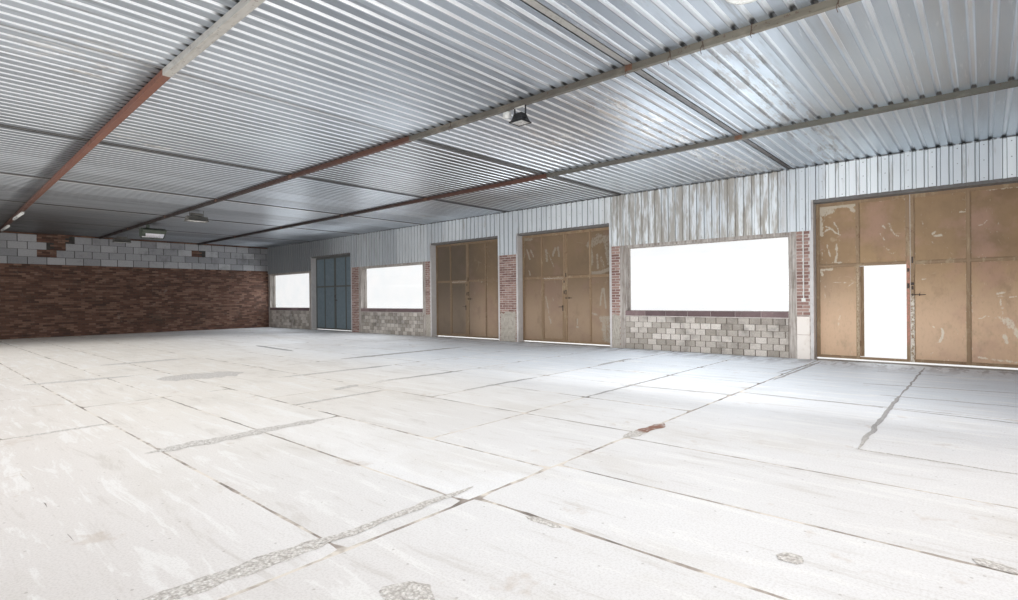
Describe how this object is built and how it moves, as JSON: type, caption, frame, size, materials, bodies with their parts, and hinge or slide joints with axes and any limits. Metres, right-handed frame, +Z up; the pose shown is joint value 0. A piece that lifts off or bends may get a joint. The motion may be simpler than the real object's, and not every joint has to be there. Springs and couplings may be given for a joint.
{
  "type": "factory hall",
  "caption": "Single-storey workshop hall of brick piers, block infill and ribbed steel sheets on steel girders, with two-leaf gates, wicket doors and wide windows.",
  "frame": {"origin": "ground level under the middle of the plan, without the open wicket door", "axes": "+Z up, the gated front faces -Y, the hall's length runs along X"},
  "size_m": [30.795, 16.1018, 5.4279],
  "materials": {
    "concrete": "matte",
    "brick": "matte",
    "block": "matte",
    "rough_block": "matte",
    "galvanised": "satin",
    "grey_steel": "satin",
    "beige_steel": "satin",
    "primer_steel": "matte",
    "gate_board": "satin",
    "grey_gate": "satin",
    "window_glass": "gloss",
    "black_metal": "satin",
    "white_enamel": "gloss"
  },
  "bodies": {
    "hall": {"plinth": "concrete", "floor_bed": "concrete", "floor_panels": "concrete", "brick_piers": "brick", "rear_infill": "block", "window_walls": "rough_block", "window_sills": "brick", "window_posts": "grey_steel", "window_heads": "grey_steel", "window_panes": "window_glass", "gate_jambs": "grey_steel", "gate_heads": "grey_steel", "gate_hinges": "grey_steel", "wall_rails": "grey_steel", "eaves_beams": "grey_steel", "front_lining": "galvanised", "front_cladding": "galvanised", "rear_lining": "galvanised", "rear_cladding": "galvanised", "gable_bricks": "brick", "gable_blocks": "block", "gable_heads": "brick", "girders": "grey_steel", "ceiling_beams": "beige_steel", "primed_beams": "primer_steel", "ceiling_sheets": "galvanised", "purlins": "grey_steel", "front_roof_sheets": "galvanised", "rear_roof_sheets": "galvanised", "ridge_cap": "galvanised", "floodlights": "black_metal", "ceiling_lamps": "white_enamel", "pier_casings": "concrete", "switch_conduit": "white_enamel"},
    "gate_1_left_leaf": {"gate_1_left_leaf": "gate_board"},
    "gate_1_right_leaf": {"gate_1_right_leaf": "gate_board"},
    "gate_1_wicket": {"gate_1_wicket": "gate_board"},
    "gate_2_left_leaf": {"gate_2_left_leaf": "gate_board"},
    "gate_2_right_leaf": {"gate_2_right_leaf": "gate_board"},
    "gate_2_wicket": {"gate_2_wicket": "gate_board"},
    "gate_3_left_leaf": {"gate_3_left_leaf": "gate_board"},
    "gate_3_right_leaf": {"gate_3_right_leaf": "gate_board"},
    "gate_3_wicket": {"gate_3_wicket": "gate_board"},
    "gate_4_left_leaf": {"gate_4_left_leaf": "grey_gate"},
    "gate_4_right_leaf": {"gate_4_right_leaf": "grey_gate"}
  },
  "joints": [
    {"name": "gate_1_left_hinge", "type": "hinge", "parent": "hall", "child": "gate_1_left_leaf", "pos_m": [-14.434, -7.582, 1.9], "axis": [0, 0, -1], "range_deg": [0, 90]},
    {"name": "gate_1_right_hinge", "type": "hinge", "parent": "hall", "child": "gate_1_right_leaf", "pos_m": [-11.036, -7.582, 1.9], "axis": [0, 0, 1], "range_deg": [0, 90]},
    {"name": "gate_1_wicket_hinge", "type": "hinge", "parent": "gate_1_right_leaf", "child": "gate_1_wicket", "pos_m": [-11.866, -7.563, 1.25], "axis": [0, 0, 1], "range_deg": [-115, 0]},
    {"name": "gate_2_left_hinge", "type": "hinge", "parent": "hall", "child": "gate_2_left_leaf", "pos_m": [-5.944, -7.582, 1.9], "axis": [0, 0, -1], "range_deg": [0, 90]},
    {"name": "gate_2_right_hinge", "type": "hinge", "parent": "hall", "child": "gate_2_right_leaf", "pos_m": [-2.546, -7.582, 1.9], "axis": [0, 0, 1], "range_deg": [0, 90]},
    {"name": "gate_2_wicket_hinge", "type": "hinge", "parent": "gate_2_right_leaf", "child": "gate_2_wicket", "pos_m": [-3.376, -7.563, 1.25], "axis": [0, 0, 1], "range_deg": [0, 90]},
    {"name": "gate_3_left_hinge", "type": "hinge", "parent": "hall", "child": "gate_3_left_leaf", "pos_m": [-1.699, -7.582, 1.9], "axis": [0, 0, -1], "range_deg": [0, 90]},
    {"name": "gate_3_right_hinge", "type": "hinge", "parent": "hall", "child": "gate_3_right_leaf", "pos_m": [1.699, -7.582, 1.9], "axis": [0, 0, 1], "range_deg": [0, 90]},
    {"name": "gate_3_wicket_hinge", "type": "hinge", "parent": "gate_3_right_leaf", "child": "gate_3_wicket", "pos_m": [0.869, -7.563, 1.25], "axis": [0, 0, 1], "range_deg": [0, 90]},
    {"name": "gate_4_left_hinge", "type": "hinge", "parent": "hall", "child": "gate_4_left_leaf", "pos_m": [7.066, -7.582, 1.9], "axis": [0, 0, -1], "range_deg": [0, 90]},
    {"name": "gate_4_right_hinge", "type": "hinge", "parent": "hall", "child": "gate_4_right_leaf", "pos_m": [10.464, -7.582, 1.9], "axis": [0, 0, 1], "range_deg": [0, 90]}
  ]
}
